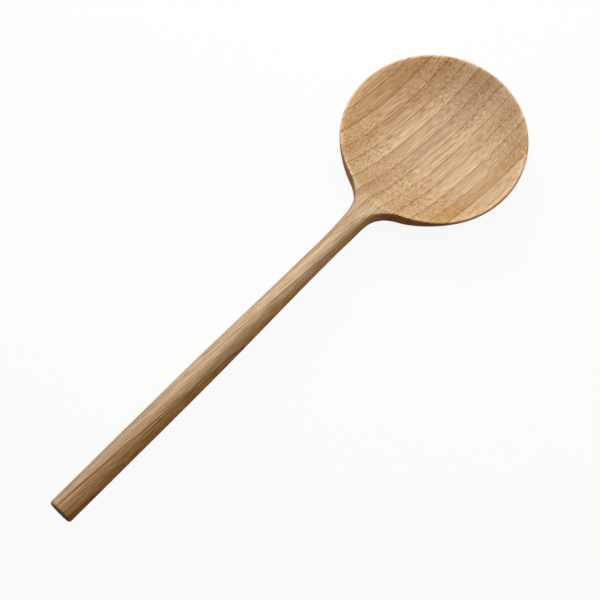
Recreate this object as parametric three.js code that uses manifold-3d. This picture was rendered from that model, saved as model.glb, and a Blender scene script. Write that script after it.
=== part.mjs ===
// Bamboo ladle: a shallow round bowl and a tapered round handle, cut in one outline from a board of
// upright bamboo strips glued side by side. The strips lie a few degrees off the handle.
// Frame: origin in the middle of the flat under the bowl, +Z up through the rim, handle along -X.
import * as THREE from "three";
import { mergeVertices } from "three/addons/utils/BufferGeometryUtils.js";
import Module from "manifold-3d";

// Bowl, millimetres
const bowlDiameter = 97;
const boardThickness = 18; // flat under the bowl to the rim
const bowlDepth = 13.8;
const hollowPower = 2.5; // 2 would be a parabola, more has a flatter floor
const rimEdgeHeight = 2.2; // upright edge of the rim
const rimRound = 0.7; // rounding of the rim's outer top edge
const rimLand = 0.4; // narrow crest between the rounding and the hollow
const baseDiameter = 36; // flat that the bowl rests on
const undersidePower = 2;

// Handle and neck, millimetres
const overallLength = 315;
const gripDiameter = 13.4;
const waistDiameter = 10.7; // narrowest place of the handle
const neckDiameter = 11.6; // where the fillets to the bowl start
const taperLength = 106; // grip to waist
const waistLength = 20; // waist to neck
const endChamfer = 0.8;
const handleDrop = 7.6; // rim down to the handle's axis
const neckFillet = 14.5; // plan radius between the handle and the bowl
const neckRise = 12; // length over which the neck's top comes up to the rim
const neckTopDrop = 0.3; // rim down to the neck's top where they meet
const neckSquareness = 5; // exponent of the section's top beside the bowl: 2 is an ellipse
const webLength = 10; // how far the neck spreads on under the bowl
const webPower = 1.2; // exponent of the section's bottom where the web has run out
const webInset = 0.15; // web inside the rim's edge
const webSink = 0.8; // web inside the underside where it ends

// Board
const stripWidth = 7.3; // from glue line to glue line
const stripStray = 15.2; // how far a strip strays sideways from the neck to the handle's end
const middleLineOffset = 1.5; // middle glue line from the handle's axis, where the neck meets the bowl
const glueThickness = 0.25;
const glueFit = 0.02; // clearance of a film to the strip beside it
const narrowestRimStrip = 3; // a narrower remainder stays part of the outermost strip
const leastPiece = 1; // cubic millimetres: a thinner shaving would be sanded off

// Finish
const bambooTones = ["#c79f6c", "#bb8f5b", "#d0aa79", "#c2976a"];
const bambooRoughness = 0.5;
const glueTone = "#7c5833";
const glueRoughness = 0.6;

// Fineness of the facets
const bowlSides = 56;
const hollowRings = 6;
const undersideRings = 4;
const roundSteps = 2;
const handleSides = 24;
const gripStations = 4;
const taperStations = 8;
const waistStations = 5;
const filletStations = 7;
const webStations = 4;
const weldDistance = 1e-4; // points of a surface nearer than this are one

// What follows from them
const bowlRadius = bowlDiameter / 2;
const neckRadius = neckDiameter / 2;
const waistRadius = waistDiameter / 2;
const gripRadius = gripDiameter / 2;
const handleEnd = bowlRadius - overallLength;
const handleHeight = boardThickness - handleDrop;
const hollowRadius = bowlRadius - rimRound - rimLand;
const filletRadius = bowlRadius + neckFillet;
const filletX = -Math.sqrt(filletRadius ** 2 - (neckRadius + neckFillet) ** 2);
const filletEndX = (filletX * bowlRadius) / filletRadius;
const riseX = filletX - neckRise;
const waistX = filletX - waistLength;
const taperX = waistX - taperLength;
const webEndX = filletEndX + webLength;
const baseRadius = baseDiameter / 2;
const edgeBottom = boardThickness - rimEdgeHeight;
const neckX = -bowlRadius;
const skew = Math.atan2(stripStray, neckX - handleEnd);
const bowlCentreAcross = -neckX * Math.sin(skew); // across the strips, from the handle's axis at the neck
const cutLength = 2 * (overallLength + bowlDiameter); // slabs and plugs that cut reach well past the ladle
const cutHeight = 2 * (boardThickness + gripDiameter);

const wasm = await Module();
wasm.setup();

function solidOf(geometry) {
  const bare = new THREE.BufferGeometry();
  bare.setAttribute("position", geometry.getAttribute("position"));
  bare.setIndex(geometry.index);
  const merged = mergeVertices(bare, weldDistance);
  const vertProperties = new Float32Array(merged.getAttribute("position").array);
  const triVerts = new Uint32Array(merged.index.array);
  return new wasm.Manifold(new wasm.Mesh({ numProp: 3, vertProperties, triVerts }));
}

function geometryOf(solid) {
  const mesh = solid.getMesh();
  const geometry = new THREE.BufferGeometry();
  geometry.setAttribute("position", new THREE.BufferAttribute(mesh.vertProperties, 3));
  geometry.setIndex(new THREE.BufferAttribute(mesh.triVerts, 1));
  const flat = geometry.toNonIndexed();
  flat.computeVertexNormals();
  return flat;
}

// Height of the bowl's underside at a radius outside the flat
function undersideHeight(radius) {
  const share = (radius - baseRadius) / (bowlRadius - baseRadius);
  return edgeBottom * share ** undersidePower;
}

// Full round of the bowl, its hollow not yet cut
function bowlBlank() {
  const profile = [new THREE.Vector2(0, 0)];
  for (let i = 0; i <= undersideRings; i++) {
    const r = THREE.MathUtils.lerp(baseRadius, bowlRadius, i / undersideRings);
    profile.push(new THREE.Vector2(r, undersideHeight(r)));
  }
  for (let i = 0; i <= roundSteps; i++) {
    const turn = ((i / roundSteps) * Math.PI) / 2;
    const r = bowlRadius - rimRound + rimRound * Math.cos(turn);
    profile.push(new THREE.Vector2(r, boardThickness - rimRound + rimRound * Math.sin(turn)));
  }
  profile.push(new THREE.Vector2(0, boardThickness));
  return solidOf(new THREE.LatheGeometry(profile, bowlSides).rotateX(Math.PI / 2));
}

// What is carved out of the bowl, standing up past the rim
function bowlHollow() {
  const profile = [];
  const floor = boardThickness - bowlDepth;
  for (let i = 0; i <= hollowRings; i++) {
    const share = i / hollowRings;
    profile.push(new THREE.Vector2(hollowRadius * share, floor + bowlDepth * share ** hollowPower));
  }
  profile.push(new THREE.Vector2(hollowRadius, cutHeight));
  profile.push(new THREE.Vector2(0, cutHeight));
  return solidOf(new THREE.LatheGeometry(profile, bowlSides).rotateX(Math.PI / 2));
}

function handleRadius(x) {
  const tapered = THREE.MathUtils.smoothstep(x, taperX, waistX);
  const widened = THREE.MathUtils.smoothstep(x, waistX, filletX);
  return gripRadius + (waistRadius - gripRadius) * tapered + (neckRadius - waistRadius) * widened;
}

// Section of the handle, the neck and the web under the bowl at x: half width, height of the widest
// place, top and bottom, and the exponents of the upper and lower halves
function sectionAt(x) {
  const radius = handleRadius(x);
  const rise = THREE.MathUtils.smoothstep(x, riseX, filletEndX);
  const fade = THREE.MathUtils.smoothstep(x, filletEndX, webEndX);
  const webBottom = undersideHeight(-webEndX) + webSink;
  const section = {
    halfWidth: radius,
    middle: THREE.MathUtils.lerp(handleHeight, edgeBottom, fade),
    top: THREE.MathUtils.lerp(handleHeight + radius, boardThickness - neckTopDrop, rise),
    bottom: THREE.MathUtils.lerp(handleHeight - radius, webBottom, fade),
    topPower: THREE.MathUtils.lerp(2, neckSquareness, rise),
    bottomPower: THREE.MathUtils.lerp(2, webPower, fade),
  };
  if (x > filletEndX) {
    section.halfWidth = Math.sqrt((bowlRadius - webInset) ** 2 - x ** 2);
  } else if (x > filletX) {
    section.halfWidth = neckRadius + neckFillet - Math.sqrt(neckFillet ** 2 - (x - filletX) ** 2);
  }
  return section;
}

function signedPower(value, power) {
  return Math.sign(value) * Math.abs(value) ** power;
}

function sectionRing(x, inset = 0) {
  const { halfWidth, middle, top, bottom, topPower, bottomPower } = sectionAt(x);
  const ring = [];
  for (let i = 0; i < handleSides; i++) {
    const turn = (2 * Math.PI * i) / handleSides;
    const upper = i < handleSides / 2;
    const power = upper ? topPower : bottomPower;
    const height = (upper ? top - middle : middle - bottom) - inset;
    const y = (halfWidth - inset) * signedPower(Math.cos(turn), 2 / power);
    ring.push(new THREE.Vector3(x, y, middle + height * signedPower(Math.sin(turn), 2 / power)));
  }
  return ring;
}

// Places along the handle, from the inner edge of the end's chamfer to the last ring under the bowl
function handleStations() {
  const stretch = (from, to, count) =>
    Array.from({ length: count }, (_, i) => THREE.MathUtils.lerp(from, to, i / count));
  const turn = Math.asin((filletEndX - filletX) / neckFillet);
  const flare = Array.from({ length: filletStations }, (_, i) => {
    return filletX + neckFillet * Math.sin((turn * i) / filletStations);
  });
  return [
    ...stretch(handleEnd + endChamfer, taperX, gripStations),
    ...stretch(taperX, waistX, taperStations),
    ...stretch(waistX, filletX, waistStations),
    ...flare,
    ...stretch(filletEndX, webEndX, webStations),
    webEndX,
  ];
}

function handleAndNeck() {
  const rings = [sectionRing(handleEnd, endChamfer), ...handleStations().map((x) => sectionRing(x))];
  const webEnd = new THREE.Vector3(webEndX, 0, sectionAt(webEndX).middle);
  const points = [new THREE.Vector3(handleEnd, 0, handleHeight), ...rings.flat(), webEnd];
  const at = (ring, side) => 1 + ring * handleSides + (side % handleSides);
  const last = rings.length - 1;
  const faces = [];
  for (let side = 0; side < handleSides; side++) {
    faces.push(0, at(0, side + 1), at(0, side));
    for (let ring = 0; ring < last; ring++) {
      faces.push(at(ring, side), at(ring, side + 1), at(ring + 1, side + 1));
      faces.push(at(ring, side), at(ring + 1, side + 1), at(ring + 1, side));
    }
    faces.push(at(last, side), at(last, side + 1), points.length - 1);
  }
  const geometry = new THREE.BufferGeometry().setFromPoints(points);
  geometry.setIndex(faces);
  return solidOf(geometry);
}

// A slab of the board between two places across the strips, from the handle's axis at the neck
function slab(from, to) {
  const box = new THREE.BoxGeometry(cutLength, to - from, 2 * cutHeight);
  box.translate(0, (from + to) / 2, 0);
  box.rotateZ(-skew);
  box.translate(neckX, 0, 0);
  return solidOf(box);
}

const ladle = bowlBlank().add(handleAndNeck()).subtract(bowlHollow());

const group = new THREE.Group();

function addPiece(name, solid, colour, roughness) {
  const material = new THREE.MeshStandardMaterial({ color: colour, roughness, metalness: 0 });
  const mesh = new THREE.Mesh(geometryOf(solid), material);
  mesh.name = name;
  group.add(mesh);
}

// Cuts a slab out of the ladle. The outline can leave a part in the bowl and another in the handle.
function addCut(side, label, from, to, colour, roughness) {
  const bodies = ladle.intersect(slab(from, to)).decompose();
  for (const body of bodies.filter((each) => each.volume() > leastPiece)) {
    const inBowl = body.boundingBox().max[0] > -bowlRadius;
    addPiece(inBowl ? `${side}_${label}` : `${side}_handle_${label}`, body, colour, roughness);
  }
}

// The middle glue line, then the strips and lines outwards on each side of it. Left is +Y, as it is seen
// from the handle's end, and the outermost strip of a side reaches past the rim.
const halfGlue = glueThickness / 2;
const halfJoint = halfGlue + glueFit;
const lineAt = (number) => middleLineOffset + number * stripWidth;
addCut("middle", "glue_line", lineAt(0) - halfGlue, lineAt(0) + halfGlue, glueTone, glueRoughness);
for (const [side, way] of [["left", 1], ["right", -1]]) {
  const room = bowlRadius - narrowestRimStrip + way * (bowlCentreAcross - middleLineOffset);
  const lines = Math.floor(room / stripWidth);
  for (let number = 1; number <= lines + 1; number++) {
    const inner = lineAt(way * (number - 1)) + way * halfJoint;
    const outer = number > lines ? way * cutLength : lineAt(way * number) - way * halfJoint;
    const tone = bambooTones[THREE.MathUtils.euclideanModulo(way * number, bambooTones.length)];
    addCut(side, `strip_${number}`, Math.min(inner, outer), Math.max(inner, outer), tone, bambooRoughness);
  }
  for (let number = 1; number <= lines; number++) {
    const line = lineAt(way * number);
    addCut(side, `glue_line_${number}`, line - halfGlue, line + halfGlue, glueTone, glueRoughness);
  }
}

export default group;
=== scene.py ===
import math

import bmesh
import bpy
from mathutils import Matrix, Vector


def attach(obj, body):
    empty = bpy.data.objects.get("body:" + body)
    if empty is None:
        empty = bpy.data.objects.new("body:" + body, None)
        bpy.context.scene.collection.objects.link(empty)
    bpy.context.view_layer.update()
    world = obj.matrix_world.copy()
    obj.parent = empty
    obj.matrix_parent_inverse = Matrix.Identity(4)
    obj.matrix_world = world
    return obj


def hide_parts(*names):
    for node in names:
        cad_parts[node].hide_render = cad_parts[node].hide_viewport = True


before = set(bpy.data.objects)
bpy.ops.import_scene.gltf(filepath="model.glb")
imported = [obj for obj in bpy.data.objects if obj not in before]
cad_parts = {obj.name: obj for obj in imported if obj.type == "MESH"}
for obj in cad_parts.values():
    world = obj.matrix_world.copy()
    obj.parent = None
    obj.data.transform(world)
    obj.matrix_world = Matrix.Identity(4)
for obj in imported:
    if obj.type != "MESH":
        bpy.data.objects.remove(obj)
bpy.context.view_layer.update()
print("frame:", len(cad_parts), "nodes")


mmPerMetre = 1000
near = 0.02  # mm, within which a point is told by its place
nearTurn = 1  # degrees, the same round the bowl


def mm(size):
    return size / mmPerMetre


def deselectAll():
    bpy.ops.object.select_all(action="DESELECT")


def selectVerts(obj, wanted):
    # in edit mode, selects the points whose place in mm passes the test
    bpy.ops.mesh.select_mode(type="VERT")
    mesh = bmesh.from_edit_mesh(obj.data)
    for vert in mesh.verts:
        vert.select = wanted(vert.co * mmPerMetre)
    mesh.select_flush_mode()


def selectFaces(obj, wanted):
    # in edit mode, selects the faces whose middle in mm passes the test
    bpy.ops.mesh.select_mode(type="FACE")
    bpy.ops.mesh.select_all(action="DESELECT")
    mesh = bmesh.from_edit_mesh(obj.data)
    for face in mesh.faces:
        face.select = wanted(face.calc_center_median() * mmPerMetre)
    mesh.select_flush_mode()


# Photograph's view: a 600 by 600 frame, focal length in pixels, place in mm
photoView = {
    "focal": 1602,
    "frame": 600,
    "sensor": 36,
    "place": (-318.16, -202.19, 755.25),
    "shift": 0.0014,  # of the frame, upwards
    "right": (0.68475, -0.72878, 0.0025),
    "down": (-0.68046, -0.64057, -0.35587),
    "ahead": (0.26095, 0.24198, -0.93453),
}

bpy.ops.object.camera_add()
camera = bpy.context.object
camera.name = "photo_camera"
camera.data.sensor_width = photoView["sensor"]
camera.data.lens = photoView["sensor"] * photoView["focal"] / photoView["frame"]
camera.data.shift_y = photoView["shift"]
axes = Matrix((Vector(photoView["right"]), -Vector(photoView["down"]), -Vector(photoView["ahead"])))
stand = Matrix.Translation(Vector(photoView["place"]) / mmPerMetre)
camera.matrix_world = stand @ axes.transposed().to_4x4()
bpy.context.scene.camera = camera
print("camera: lens", round(camera.data.lens, 1))


# One smooth ladle first, from which the strips are then cut. Sizes in mm.
bowlShape = {
    "sides": 64,
    "smoothing": 2,  # levels of subdivision, for the whole ladle
    "floor": 4.2,
    "depth": 13.8,
    "hollowRadius": 47.4,
    "hollowPower": 2.5,  # 2 would be a parabola
    "hollowRings": (9, 16, 23, 29.5, 35, 39.5, 43, 45.3),
    # radius and height, over the rim and down its upright edge
    "rim": (
        (46.9, 17.64), (47.35, 17.91), (47.7, 17.98), (48.15, 17.9),
        (48.43, 17.57), (48.5, 17.05), (48.5, 16.6), (48.45, 15.85),
    ),
    # and in to the flat underneath
    "underside": (
        (47.6, 14.8), (45.4, 12.75), (42, 9.78), (37.5, 6.46), (32, 3.33),
        (26, 1.09), (21, 0.15), (16.5, 0), (11, 0),
    ),
}


def hollowHeight(radius):
    shape = bowlShape
    return shape["floor"] + shape["depth"] * (radius / shape["hollowRadius"]) ** shape["hollowPower"]


def cageOf(points):
    # a subdivided surface runs inside its cage, so the cage is set out by a sixth of the bend at each point
    cage = [points[0]]
    for before, here, after in zip(points, points[1:], points[2:]):
        cage.append(tuple(h - (b - 2 * h + a) / 6 for b, h, a in zip(before, here, after)))
    return cage + [points[-1]]


def cageShare(sides):
    # how much of its cage's radius a subdivided ring keeps
    return (2 + math.cos(2 * math.pi / sides)) / 3


def drawRings(rings):
    # draws out the selected ring to each radius and height in turn
    for (radius, height), (newRadius, newHeight) in zip(rings, rings[1:]):
        lift = (0, 0, mm(newHeight - height))
        bpy.ops.mesh.extrude_edges_move(TRANSFORM_OT_translate={"value": lift})
        scale = newRadius / radius
        bpy.ops.transform.resize(value=(scale, scale, 1), center_override=(0, 0, 0))


def makeBowl():
    shape = bowlShape
    sides = shape["sides"]
    hollow = [(radius, hollowHeight(radius)) for radius in shape["hollowRings"]]
    profile = cageOf(hollow + list(shape["rim"]) + list(shape["underside"]))
    profile = [(radius / cageShare(sides), height) for radius, height in profile]
    radius, height = profile[0]
    deselectAll()
    bpy.ops.mesh.primitive_circle_add(vertices=sides, radius=mm(radius), location=(0, 0, mm(height)))
    blank = bpy.context.object
    bpy.ops.object.transform_apply(location=True)
    bpy.ops.object.mode_set(mode="EDIT")
    bpy.ops.mesh.select_all(action="SELECT")
    bpy.ops.mesh.fill_grid(span=sides // 4)
    selectVerts(blank, lambda place: place.xy.length > radius - near)
    drawRings(profile)
    bpy.ops.mesh.fill_grid(span=sides // 4)
    return blank, profile


handleShape = {
    "end": -266.5,
    "axis": 10.4,  # height of the handle's middle
    "grip": 6.7,  # radii
    "waist": 5.35,
    "neck": 5.8,
    "taperFrom": -185.6,
    "waistAt": -79.6,
    "neckAt": -59.6,
    "fillet": 14.5,  # plan radius between the handle and the bowl
    "riseFrom": -71.6,  # the neck's top comes up to the rim
    "riseTo": -45.9,
    "riseTop": 17.7,
    "roundFrom": -68,  # the section turns from round to square
    "squareFrom": -48.5,
    "neckRings": (-50.2, -53, -57, -62, -68, -74),
    "rings": (-80, -92, -105, -120, -135, -150, -165, -185, -210, -235, -256),
    # at the end: distance from the flat, and how far inside the grip
    "endRings": ((2.4, 0), (1.1, 0), (0.72, 0.08), (0.08, 0.72), (0, 0.95), (0, 1.8)),
    "rootTurn": 17,  # half of the neck's root, in degrees round the bowl
    "rootRadii": (38.5, 47.8),  # on the underside, and at the rim
    "rootUnder": 1,  # below the hollow's surface, which stays whole
    # down a side of the square section: in from its widest place, and below its top
    "shoulder": (
        (1.5, 0), (1, 0.14), (0.68, 0.6), (0.52, 1.2), (0.4, 2),
        (0.22, 3.4), (0.05, 5.6), (0.4, 8.3), (1.8, 10.9), (4.2, 12.4),
    ),
    "shoulderHeight": 12.9,
    "belly": 0.5,  # how far the section's bottom sags
    "across": 6,  # faces across the top, and across the bottom
    # beside the root the bowl's wall is deeper and the rim runs straighter: degrees round the bowl,
    # and the shares there of the wall's and the rim's shift
    "webTurns": (
        (0, 0, -1.3), (5.625, 0, -1.25), (11.25, 0, -0.6), (16.875, 1, 0.9),
        (22.5, 0.9, 1), (28.125, 0.68, 1), (33.75, 0.48, 0.9), (39.375, 0.3, 0.65),
        (45, 0.15, 0.4), (50.625, 0.04, 0.2), (56.25, 0, 0.08),
    ),
    # ring by ring, from the hollow's last over the rim and down: the wall's shift out and up,
    # and the rim's shift out
    "webShift": (
        (0, 0, -0.3), (0, 0, -0.6), (0, 0, -0.7), (0, 0, -0.75), (0, 0, -0.8),
        (0, 0, -0.85), (0, -0.15, -0.8), (0.05, -1, -0.65), (0.2, -2.6, -0.4),
        (1.1, -3.9, 0), (2.1, -4.1, 0), (2.3, -2.8, 0), (0.8, -0.7, 0),
    ),
}


def smoothStep(low, high, at):
    share = min(max((at - low) / (high - low), 0), 1)
    return share * share * (3 - 2 * share)


def handleRadius(x):
    shape = handleShape
    tapered = (shape["waist"] - shape["grip"]) * smoothStep(shape["taperFrom"], shape["waistAt"], x)
    widened = (shape["neck"] - shape["waist"]) * smoothStep(shape["waistAt"], shape["neckAt"], x)
    return shape["grip"] + tapered + widened


def neckSection(x):
    # half width, bottom and top
    shape = handleShape
    radius = handleRadius(x)
    halfWidth = radius
    if x > shape["neckAt"]:
        halfWidth += shape["fillet"] - math.sqrt(shape["fillet"] ** 2 - (x - shape["neckAt"]) ** 2)
    roundTop = shape["axis"] + radius
    top = roundTop + (shape["riseTop"] - roundTop) * smoothStep(shape["riseFrom"], shape["riseTo"], x)
    return halfWidth, shape["axis"] - radius, top


def turnOf(place):
    # degrees round the bowl, from the handle
    return math.degrees(math.atan2(place.y, -place.x))


def openRoot(blank):
    # takes away the faces of the bowl that the neck grows from
    shape = handleShape
    inner, rim = shape["rootRadii"]

    def atRoot(place):
        radius = place.xy.length
        outside = radius > rim or place.z < hollowHeight(radius) - shape["rootUnder"]
        return abs(turnOf(place)) < shape["rootTurn"] and radius > inner and outside

    selectFaces(blank, atRoot)
    bpy.ops.mesh.delete(type="FACE")


def shapeWeb(blank, profile):
    # moves the rim and the wall beside the neck, alike on both sides, while their rings are still round
    shape = handleShape
    first = len(bowlShape["hollowRings"]) - 1
    for (radius, height), (wallOut, wallUp, rimOut) in zip(profile[first:], shape["webShift"]):
        for turn, wallShare, rimShare in shape["webTurns"]:

            def onRing(place):
                atRing = abs(place.xy.length - radius) < near and abs(place.z - height) < near
                return atRing and abs(abs(turnOf(place)) - turn) < nearTurn

            selectVerts(blank, onRing)
            scale = 1 + (wallOut * wallShare + rimOut * rimShare) / radius
            bpy.ops.transform.resize(value=(scale, scale, 1), center_override=(0, 0, 0))
            bpy.ops.transform.translate(value=(0, 0, mm(wallUp * wallShare)))


def rootPoints(blank):
    # the selected loop's points by number: side (1 left, 0 neither, -1 right) and place along its edge
    shape = handleShape
    mesh = bmesh.from_edit_mesh(blank.data)
    loop = [(vert.index, vert.co * mmPerMetre) for vert in mesh.verts if vert.select]
    points = {}
    for side in (1, -1):
        chain = [point for point in loop if side * turnOf(point[1]) > shape["rootTurn"] - nearTurn]
        chain.sort(key=lambda point: -point[1].z)
        points.update({number: ("side", side, k) for k, (number, place) in enumerate(chain)})
    step = 360 / bowlShape["sides"]
    for number, place in loop:
        if number not in points:
            edge = "top" if place.z > shape["axis"] else "bottom"
            points[number] = (edge, 0, round(turnOf(place) / step))
    return points


def pointPlace(point, x):
    # where a point of the neck's section belongs at x: between a shouldered square and a round
    shape = handleShape
    edge, side, k = point
    halfWidth, bottom, top = neckSection(x)
    half = shape["across"] / 2
    turn = 360 / (2 * shape["across"] + 2 * (len(shape["shoulder"]) - 1))
    if edge == "side":
        inset, drop = shape["shoulder"][k]
        y = side * (halfWidth - inset)
        z = top - drop * (top - bottom) / shape["shoulderHeight"]
        angle = 90 - turn * (half + k)
    elif edge == "top":
        y = k / half * (halfWidth - shape["shoulder"][0][0])
        z = top
        angle = 90 - turn * k
        side = 1
    else:
        y = k / half * (halfWidth - shape["shoulder"][-1][0])
        z = bottom + shape["belly"] * (k / half) ** 2
        angle = turn * k - 90
        side = 1
    keep = cageShare(360 / turn)
    roundY = side * halfWidth / keep * math.cos(math.radians(angle))
    roundZ = (top + bottom) / 2 + (top - bottom) / 2 / keep * math.sin(math.radians(angle))
    share = smoothStep(-shape["squareFrom"], -shape["roundFrom"], -x)
    return Vector((x, y + (roundY - y) * share, z + (roundZ - z) * share)) / mmPerMetre


def carryPoints(blank, points, lastX):
    # the new ring still has the last one's places across the handle, so its points are told by them
    mesh = bmesh.from_edit_mesh(blank.data)
    here = {vert.index: vert.co.yz for vert in mesh.verts if vert.select}
    carried = {}
    for point in points.values():
        place = pointPlace(point, lastX).yz
        number = min(here, key=lambda i: (here[i] - place).length)
        carried[number] = point
    return carried


def drawNeck(blank):
    # each point of the loop is drawn along the handle by itself, ring by ring
    lastX = None
    for x in handleShape["neckRings"]:
        if lastX is None:
            bpy.ops.mesh.extrude_edges_move(TRANSFORM_OT_translate={"value": (0, 0, 0)})
            points = rootPoints(blank)
        else:
            bpy.ops.mesh.extrude_edges_move(TRANSFORM_OT_translate={"value": (mm(x - lastX), 0, 0)})
            points = carryPoints(blank, points, lastX)
        for number, point in points.items():
            mesh = bmesh.from_edit_mesh(blank.data)
            mesh.verts.ensure_lookup_table()
            bpy.ops.mesh.select_all(action="DESELECT")
            mesh.verts[number].select = True
            move = pointPlace(point, x) - mesh.verts[number].co
            bpy.ops.transform.translate(value=move)
        selectVerts(blank, lambda place: abs(place.x - x) < near)
        lastX = x


def drawHandle(blank):
    shape = handleShape
    bpy.ops.mesh.select_mode(type="VERT")
    bpy.ops.mesh.select_non_manifold(extend=False)
    drawNeck(blank)
    lastX = shape["neckRings"][-1]
    lastRadius = handleRadius(lastX)
    rings = [(x, handleRadius(x)) for x in shape["rings"]]
    rings += [(shape["end"] + inward, shape["grip"] - inset) for inward, inset in shape["endRings"]]
    for x, radius in rings:
        bpy.ops.mesh.extrude_edges_move(TRANSFORM_OT_translate={"value": (mm(x - lastX), 0, 0)})
        scale = radius / lastRadius
        bpy.ops.transform.resize(value=(1, scale, scale), center_override=(0, 0, mm(shape["axis"])))
        lastX, lastRadius = x, radius
    bpy.ops.mesh.fill_grid(span=shape["across"])


blank, profile = makeBowl()
print("bowl drawn")
openRoot(blank)
shapeWeb(blank, profile)
drawHandle(blank)
bpy.ops.mesh.select_all(action="SELECT")
bpy.ops.mesh.normals_make_consistent(inside=False)
bpy.ops.object.mode_set(mode="OBJECT")
smooth = blank.modifiers.new("smooth", "SUBSURF")
smooth.levels = bowlShape["smoothing"]
smooth.render_levels = bowlShape["smoothing"]
bpy.ops.object.modifier_apply(modifier=smooth.name)
print("blank:", len(blank.data.polygons), "faces")


# The board: strips glued side by side, a few degrees off the handle. Sizes in mm.
boardCut = {
    "pitch": 7.3,
    "middleLine": 1.5,  # from the handle's axis, where the neck meets the bowl
    "neckX": -48.5,
    "stray": 15.2,  # sideways, from the neck to the handle's end
    "film": 0.25,
    "cutWithin": 0.001,  # a point this near to a cut is taken to lie on it
    "leftLines": 6,
    "rightLines": 5,
    "smoothAngle": 30,
}
skew = math.atan2(boardCut["stray"], boardCut["neckX"] - handleShape["end"])
acrossBoard = Vector((math.sin(skew), math.cos(skew), 0))


def lineAt(number):
    return boardCut["middleLine"] + number * boardCut["pitch"]


def turnOutward(piece):
    # a closed piece that is inside out has a volume below zero
    mesh = bmesh.new()
    mesh.from_mesh(piece.data)
    if mesh.calc_volume(signed=True) < 0:
        piece.data.flip_normals()
    mesh.free()


def cutSlab(label, low, high):
    # copies the ladle, keeps what lies between two places across the board, and names what is left
    deselectAll()
    blank.select_set(True)
    bpy.context.view_layer.objects.active = blank
    bpy.ops.object.duplicate()
    bpy.ops.object.mode_set(mode="EDIT")
    for at, below in ((low, True), (high, False)):
        if at is not None:
            bpy.ops.mesh.select_all(action="SELECT")
            onPlane = Vector((mm(boardCut["neckX"]), 0, 0)) + acrossBoard * mm(at)
            bpy.ops.mesh.bisect(
                plane_co=onPlane, plane_no=acrossBoard, clear_inner=below, clear_outer=not below,
                threshold=mm(boardCut["cutWithin"]),
            )
    bpy.ops.mesh.select_all(action="SELECT")
    bpy.ops.mesh.fill_holes(sides=0)
    # the cut faces have many sides, so they are split into even triangles
    bpy.ops.mesh.select_face_by_sides(number=4, type="GREATER", extend=False)
    bpy.ops.mesh.quads_convert_to_tris(ngon_method="BEAUTY")
    bpy.ops.mesh.select_all(action="SELECT")
    bpy.ops.mesh.normals_make_consistent(inside=False)
    bpy.ops.mesh.separate(type="LOOSE")
    bpy.ops.object.mode_set(mode="OBJECT")
    made = {}
    for piece in list(bpy.context.selected_objects):
        inBowl = max(vert.co.x for vert in piece.data.vertices) > mm(boardCut["neckX"])
        side, kind = label.split("_", 1)
        name = label if inBowl else side + "_handle_" + kind
        made[name] = piece
        turnOutward(piece)
        piece.name = name + ("_film" if "glue" in kind else "_bamboo")
    return made


pieces = {}
halfFilm = boardCut["film"] / 2
pieces.update(cutSlab("middle_glue_line", lineAt(0) - halfFilm, lineAt(0) + halfFilm))
for side, way, lines in (("left", 1, boardCut["leftLines"]), ("right", -1, boardCut["rightLines"])):
    for number in range(1, lines + 2):
        # the outermost strip runs out to the rim, and on the right the outer end is the lower one
        ends = [lineAt(way * (number - 1)) + way * halfFilm, lineAt(way * number) - way * halfFilm]
        if number > lines:
            ends[1] = None
        pieces.update(cutSlab(f"{side}_strip_{number}", *ends[::way]))
    for number in range(1, lines + 1):
        line = lineAt(way * number)
        pieces.update(cutSlab(f"{side}_glue_line_{number}", line - halfFilm, line + halfFilm))
print("board:", len(pieces), "pieces")
bpy.data.objects.remove(blank)


def linear(hexColour):
    channels = [int(hexColour[i:i + 2], 16) / 255 for i in (1, 3, 5)]
    return [c / 12.92 if c <= 0.04045 else ((c + 0.055) / 1.055) ** 2.4 for c in channels] + [1]


def tinted(colour, tint):
    return [c * t for c, t in zip(colour, tint)] + [1]


# a Mix node's sockets for colours, which share their names with its other sockets
mixShare, mixFrom, mixTo, mixed = 0, 6, 7, 2


def addNode(tree, kind, inputs=None, **settings):
    node = tree.nodes.new(kind)
    for name, value in settings.items():
        setattr(node, name, value)
    for socket, value in (inputs or {}).items():
        if isinstance(value, bpy.types.Node):
            value = value.outputs[0]
        if isinstance(value, bpy.types.NodeSocket):
            tree.links.new(value, node.inputs[socket])
        else:
            node.inputs[socket].default_value = value
    return node


def newMaterial(name):
    material = bpy.data.materials.new(name)
    material.use_nodes = True
    material.node_tree.nodes.clear()
    return material, material.node_tree


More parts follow.
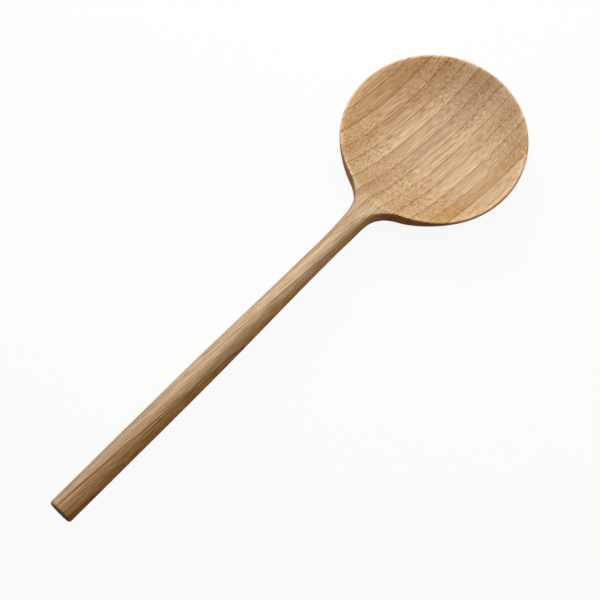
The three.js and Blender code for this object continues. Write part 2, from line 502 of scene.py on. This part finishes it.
# Laminated bamboo, sawn, glued on edge, sanded and oiled: satin, with long fibre bundles that show as
# streaks where the surface runs along the strip and as dots and hatching where it cuts across it.
# Each strip is darkest at the side that was under the culm's skin. End grain is darker, and the rim and the
# neck's top are painted paler, a painted sheen.
bambooLook = {
    # tone, how strongly the bundles show, and how much darker the strip is under the skin, below zero where
    # the strip was glued in the other way round
    "strips": {
        "left_7": ("#e7c8a4", 0.7, 0.05),
        "left_6": ("#ddba92", 0.9, -0.1),
        "left_5": ("#e2c3a1", 0.9, -0.05),
        "left_4": ("#d9b895", 0.65, 0.3),
        "left_3": ("#dfc6a6", 1.0, 0.22),
        "left_2": ("#d2b594", 0.6, 0.22),
        "left_1": ("#cdb091", 0.7, 0.24),
        "right_1": ("#d8be9c", 1.0, 0.24),
        "right_2": ("#d0b290", 0.85, -0.2),
        "right_3": ("#d2b793", 1.2, 0.2),
        "right_4": ("#ccad86", 1.1, 0.12),
        "right_5": ("#c59e6a", 1.1, -0.1),
        "right_6": ("#d4b792", 0.75, -0.05),
        # painted shade: the handle parts of right strips 3 and 4 lie along the handle's shaded right side
        # and are darker than their bowl parts
        "right_handle_3": ("#cba77b", 1.4, 0.2),
        "right_handle_4": ("#c1a079", 1.3, 0.12),
    },
    "paleTint": (1.13, 1.17, 1.24),
    "deepTint": (0.72, 0.56, 0.35),
    "bundleTint": (0.42, 0.22, 0.05),
    "bundleSpacing": 0.95,  # mm. Real bundles stand about 0.5 mm apart, too fine to show here
    "bundleLength": 400,
    "bundleJitter": 0.8,
    "bundleCore": (0.15, 0.6),  # from the middle, in spacings
    "faintest": 0.45,  # of the bundles
    "rindWidth": 2.6,  # mm under the skin, where the bundles crowd
    "pithShare": 0.45,  # how strong they are elsewhere
    "sway": 1.2,  # mm
    "swayLength": 70,
    # short flecks, long fibres and a slow drift of tone, in mm. The first two are coarser than the real
    # 0.1 for the same reason
    "fleckWidth": 0.5,
    "fleckLength": 6,
    "fleckSpan": (0.3, 0.7),  # what the noise mostly runs between
    "fibreWidth": 0.5,
    "fibreLength": 30,
    "driftWidth": 2.5,
    "driftLength": 45,
    "driftDepth": 20,
    # how much of the deep tone each one brings, and what their sum starts from
    "fleckShare": 0.85,
    "fibreShare": 1.35,
    "driftShare": 0.5,
    "deepFrom": -0.89,
    "endFrom": 0.55,  # of the way from facing across the fibres to facing along them
    "endTint": (0.6, 0.5, 0.4),
    "paintedSheenFrom": 15.6,  # mm up: the rim and the top of the neck are painted paler, a painted sheen
    "paintedSheenTo": 17.9,
    "paintedSheenTint": (1.16, 1.2, 1.26),
    "specular": 0.5,
    "roughness": (0.4, 0.5),
    "bump": 0.1,
    "bumpHeight": 0.05,  # mm
    "apart": (310, 0, 53),  # mm from one strip's pattern to the next
    "apartFrom": 8,  # strips from the patterns' own start to the middle line
}


def bambooMaterial(strip, lowLine):
    # lowLine is the number of the line along the strip's lower edge
    look = bambooLook
    hexTone, marks, rind = look["strips"][strip]
    tone = linear(hexTone)
    material, tree = newMaterial("oiled_bamboo_" + strip)
    coordinates = addNode(tree, "ShaderNodeTexCoord").outputs
    place = coordinates["Object"]
    # in mm, turned to run along the strip from its own lower edge, and moved on so that no two strips match
    pivot = -boardCut["neckX"]
    start = Vector((pivot * math.cos(skew), pivot * math.sin(skew) - lineAt(lowLine), 0))
    start += Vector(look["apart"]) * (lowLine + look["apartFrom"])
    turned = addNode(
        tree, "ShaderNodeMapping",
        {"Vector": place, "Location": start, "Rotation": (0, 0, skew), "Scale": [mmPerMetre] * 3},
    )
    axes = addNode(tree, "ShaderNodeSeparateXYZ", {0: turned})
    along, across = axes.outputs[0], axes.outputs[1]

    def stretched(kind, vector, width, length, inputs, depth=None):
        # a pattern drawn out along the strip
        share = (1 / length, 1 / width, 1 / (depth or width))
        thin = addNode(tree, "ShaderNodeVectorMath", {0: vector, 1: share}, operation="MULTIPLY")
        return addNode(tree, kind, {"Vector": thin, "Scale": 1, **inputs})

    swayNoise = addNode(
        tree, "ShaderNodeTexNoise", {"W": along, "Scale": 1 / look["swayLength"], "Detail": 1},
        noise_dimensions="1D",
    )
    swayed = addNode(
        tree, "ShaderNodeVectorMath",
        {0: swayNoise.outputs["Color"], 1: (0, 2 * look["sway"], 2 * look["sway"]), 2: turned},
        operation="MULTIPLY_ADD",
    )
    pitch = boardCut["pitch"]
    inStrip = addNode(tree, "ShaderNodeMath", {0: across, 1: pitch, 2: 0}, operation="WRAP")
    pith, skin = (0, pitch) if rind > 0 else (pitch, 0)
    rindFrom = skin + math.copysign(look["rindWidth"], pith - skin)
    strength = addNode(
        tree, "ShaderNodeMapRange",
        {
            "Value": inStrip, "From Min": rindFrom, "From Max": skin,
            "To Min": look["pithShare"] * marks, "To Max": marks,
        },
        interpolation_type="SMOOTHSTEP",
    )
    bundles = stretched(
        "ShaderNodeTexVoronoi", swayed, look["bundleSpacing"], look["bundleLength"],
        {"Randomness": look["bundleJitter"]},
    )
    own = addNode(tree, "ShaderNodeSeparateColor", {0: bundles.outputs["Color"]})
    own = addNode(tree, "ShaderNodeMapRange", {"Value": own, "To Min": look["faintest"]})
    coreFrom, coreTo = look["bundleCore"]
    core = addNode(
        tree, "ShaderNodeMapRange",
        {
            "Value": bundles.outputs["Distance"], "From Min": coreFrom, "From Max": coreTo,
            "To Min": 1, "To Max": 0,
        },
        interpolation_type="SMOOTHSTEP",
    )
    core = addNode(tree, "ShaderNodeMath", {0: core, 1: own}, operation="MULTIPLY")
    core = addNode(tree, "ShaderNodeMath", {0: core, 1: strength}, operation="MULTIPLY")
    grain = {"Detail": 0}
    fleck = stretched("ShaderNodeTexNoise", swayed, look["fleckWidth"], look["fleckLength"], grain)
    fibre = stretched("ShaderNodeTexNoise", swayed, look["fibreWidth"], look["fibreLength"], grain)
    drift = stretched(
        "ShaderNodeTexNoise", swayed, look["driftWidth"], look["driftLength"], {"Detail": 1},
        look["driftDepth"],
    )
    deep = addNode(
        tree, "ShaderNodeMapRange",
        {
            "Value": inStrip, "From Min": pith, "From Max": skin,
            "To Min": look["deepFrom"] - abs(rind) / 2, "To Max": look["deepFrom"] + abs(rind) / 2,
        },
    )
    for pattern, share in ((fleck, "fleckShare"), (fibre, "fibreShare"), (drift, "driftShare")):
        deep = addNode(
            tree, "ShaderNodeMath", {0: pattern, 1: look[share], 2: deep}, operation="MULTIPLY_ADD",
        )
    deep.use_clamp = True  # the whole sum only
    pale, dark = tinted(tone, look["paleTint"]), tinted(tone, look["deepTint"])
    ground = addNode(
        tree, "ShaderNodeMix", {mixShare: deep, mixFrom: pale, mixTo: dark}, data_type="RGBA",
    )
    bundleTone = tinted(tone, look["bundleTint"])
    colour = addNode(
        tree, "ShaderNodeMix", {mixShare: core, mixFrom: ground.outputs[mixed], mixTo: bundleTone},
        data_type="RGBA",
    )
    # end grain drinks more oil
    fibreWay = (math.cos(skew), -math.sin(skew), 0)
    facing = addNode(
        tree, "ShaderNodeVectorMath", {0: coordinates["Normal"], 1: fibreWay}, operation="DOT_PRODUCT",
    )
    facing = addNode(tree, "ShaderNodeMath", {0: facing.outputs["Value"]}, operation="ABSOLUTE")
    ends = addNode(
        tree, "ShaderNodeMapRange",
        {"Value": facing, "From Min": look["endFrom"], "From Max": 1, "To Min": 0, "To Max": 1},
    )
    colour = addNode(
        tree, "ShaderNodeMix",
        {mixShare: ends, mixFrom: colour.outputs[mixed], mixTo: list(look["endTint"]) + [1]},
        data_type="RGBA", blend_type="MULTIPLY",
    )
    # painted sheen: the colour turns paler towards the top, over the rim and the neck's top
    height = addNode(tree, "ShaderNodeSeparateXYZ", {0: place}).outputs[2]
    paintedSheen = addNode(
        tree, "ShaderNodeMapRange",
        {"Value": height, "From Min": mm(look["paintedSheenFrom"]), "From Max": mm(look["paintedSheenTo"])},
        interpolation_type="SMOOTHSTEP",
    )
    colour = addNode(
        tree, "ShaderNodeMix",
        {mixShare: paintedSheen, mixFrom: colour.outputs[mixed], mixTo: list(look["paintedSheenTint"]) + [1]},
        data_type="RGBA", blend_type="MULTIPLY",
    )
    rough = addNode(
        tree, "ShaderNodeMapRange",
        {
            "Value": fleck, "From Min": look["fleckSpan"][0], "From Max": look["fleckSpan"][1],
            "To Min": look["roughness"][0], "To Max": look["roughness"][1],
        },
    )
    relief = addNode(tree, "ShaderNodeMath", {0: fleck, 1: core}, operation="SUBTRACT")
    bump = addNode(
        tree, "ShaderNodeBump",
        {"Height": relief, "Strength": look["bump"], "Distance": mm(look["bumpHeight"])},
    )
    shader = addNode(
        tree, "ShaderNodeBsdfPrincipled",
        {
            "Base Color": colour.outputs[mixed], "Roughness": rough, "Normal": bump,
            "Specular IOR Level": look["specular"],
        },
    )
    addNode(tree, "ShaderNodeOutputMaterial", {"Surface": shader})
    return material


# Wood glue in the joints, cured and sanded flush: a thin brown line, as satin as the bamboo beside it
glueLook = {
    "tone": "#94683a",
    "paleTint": (1.3, 1.3, 1.3),
    "deepTint": (0.6, 0.53, 0.45),
    "grainLength": 6,  # mm
    "roughness": 0.5,
}


def glueMaterial():
    look = glueLook
    tone = linear(look["tone"])
    material, tree = newMaterial("cured_wood_glue")
    place = addNode(tree, "ShaderNodeTexCoord").outputs["Object"]
    grain = addNode(
        tree, "ShaderNodeTexNoise", {"Vector": place, "Scale": 1 / mm(look["grainLength"]), "Detail": 2},
    )
    pale, dark = tinted(tone, look["paleTint"]), tinted(tone, look["deepTint"])
    colour = addNode(
        tree, "ShaderNodeMix", {mixShare: grain, mixFrom: pale, mixTo: dark}, data_type="RGBA",
    )
    shader = addNode(
        tree, "ShaderNodeBsdfPrincipled",
        {"Base Color": colour.outputs[mixed], "Roughness": look["roughness"]},
    )
    addNode(tree, "ShaderNodeOutputMaterial", {"Surface": shader})
    return material


glue = glueMaterial()
bamboo = {}
for strip in bambooLook["strips"]:
    side, number = strip.split("_")[0], int(strip.split("_")[-1])
    lowLine = number - 1 if side == "left" else -number
    bamboo[strip] = bambooMaterial(strip, lowLine)
print("materials:", len(bamboo) + 1)

for name, piece in pieces.items():
    deselectAll()
    piece.select_set(True)
    bpy.context.view_layer.objects.active = piece
    bpy.ops.object.shade_smooth_by_angle(angle=math.radians(boardCut["smoothAngle"]))
    piece.data.materials.clear()
    piece.data.materials.append(glue if "glue" in name else bamboo[name.replace("_strip", "")])
    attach(piece, "root")
    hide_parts(name)
print("pieces dressed")


# Studio: a softbox overhead, a cool key and a low window from the left, a warm fill from the right, hardly
# any light from all round, and a white floor with a faint shadow
studio = {
    "lamps": {
        # place and aim in metres, size, power in watts, colour
        "overhead_softbox": ((0.12, 0.16, 0.5), (0, 0, 0.01), 0.4, 1.9, "#fff5e8"),
        "key_softbox": ((0.47, 0.9, 0.6), (-0.05, 0, 0.01), 0.5, 4.6, "#eefaff"),
        "fill_softbox": ((0.541, -0.496, 0.919), (-0.05, 0, 0.01), 0.5, 3.4, "#ffeed6"),
        "low_window": ((-0.05, 1.128, 0.41), (-0.05, 0, 0.01), 0.5, 2.9, "#ffffff"),
    },
    "white": "#ffffff",
    "aroundStrength": 0.01,
    "floorSize": 12,  # metres
    "floorBounce": "#d0a078",  # its tone in the light that it sends back up
    "shadowShare": 0.07,  # how much of the floor's own light the camera sees, the rest is plain white
    "backdropMirrored": 0.1,  # how white the backdrop and the floor are in the ladle's satin sheen
    "floorMirrored": 0.05,
}

for name, (place, aim, size, power, colour) in studio["lamps"].items():
    bpy.ops.object.light_add(type="AREA", location=place)
    lamp = bpy.context.object
    lamp.name = name
    lamp.data.size = size
    lamp.data.energy = power
    lamp.data.color = linear(colour)[:3]
    lamp.rotation_euler = (Vector(aim) - lamp.location).to_track_quat("-Z", "Y").to_euler()


def backgroundRays(tree, mirrored):
    # 1 for the rays that show the background, 0 for those that light the ladle
    rays = addNode(tree, "ShaderNodeLightPath").outputs
    seen = addNode(
        tree, "ShaderNodeMath", {0: rays["Is Glossy Ray"], 1: mirrored, 2: rays["Is Camera Ray"]},
        operation="MULTIPLY_ADD",
    )
    return addNode(
        tree, "ShaderNodeMath", {0: seen, 1: rays["Is Transmission Ray"]}, operation="ADD", use_clamp=True,
    )


white = linear(studio["white"])
world = bpy.data.worlds.new("studio")
world.use_nodes = True
tree = world.node_tree
tree.nodes.clear()
seen = backgroundRays(tree, studio["backdropMirrored"])
around = addNode(tree, "ShaderNodeBackground", {"Color": white, "Strength": studio["aroundStrength"]})
shown = addNode(tree, "ShaderNodeBackground", {"Color": white, "Strength": 1})
backdrop = addNode(tree, "ShaderNodeMixShader", {0: seen, 1: around, 2: shown})
addNode(tree, "ShaderNodeOutputWorld", {"Surface": backdrop})
bpy.context.scene.world = world

deselectAll()
bpy.ops.mesh.primitive_plane_add(size=studio["floorSize"])
floor = bpy.context.object
floor.name = "floor"
material, tree = newMaterial("white_floor")
seen = backgroundRays(tree, studio["floorMirrored"])
bounce = linear(studio["floorBounce"])
sheetTone = addNode(
    tree, "ShaderNodeMix", {mixShare: seen, mixFrom: bounce, mixTo: white}, data_type="RGBA",
)
sheet = addNode(tree, "ShaderNodeBsdfDiffuse", {"Color": sheetTone.outputs[mixed]})
shown = addNode(tree, "ShaderNodeEmission", {"Color": white, "Strength": 1})
plain = addNode(tree, "ShaderNodeMath", {0: seen, 1: 1 - studio["shadowShare"]}, operation="MULTIPLY")
surface = addNode(tree, "ShaderNodeMixShader", {0: plain, 1: sheet, 2: shown})
addNode(tree, "ShaderNodeOutputMaterial", {"Surface": surface})
floor.data.materials.append(material)
bpy.context.scene.view_settings.view_transform = "Standard"
print("studio ready")
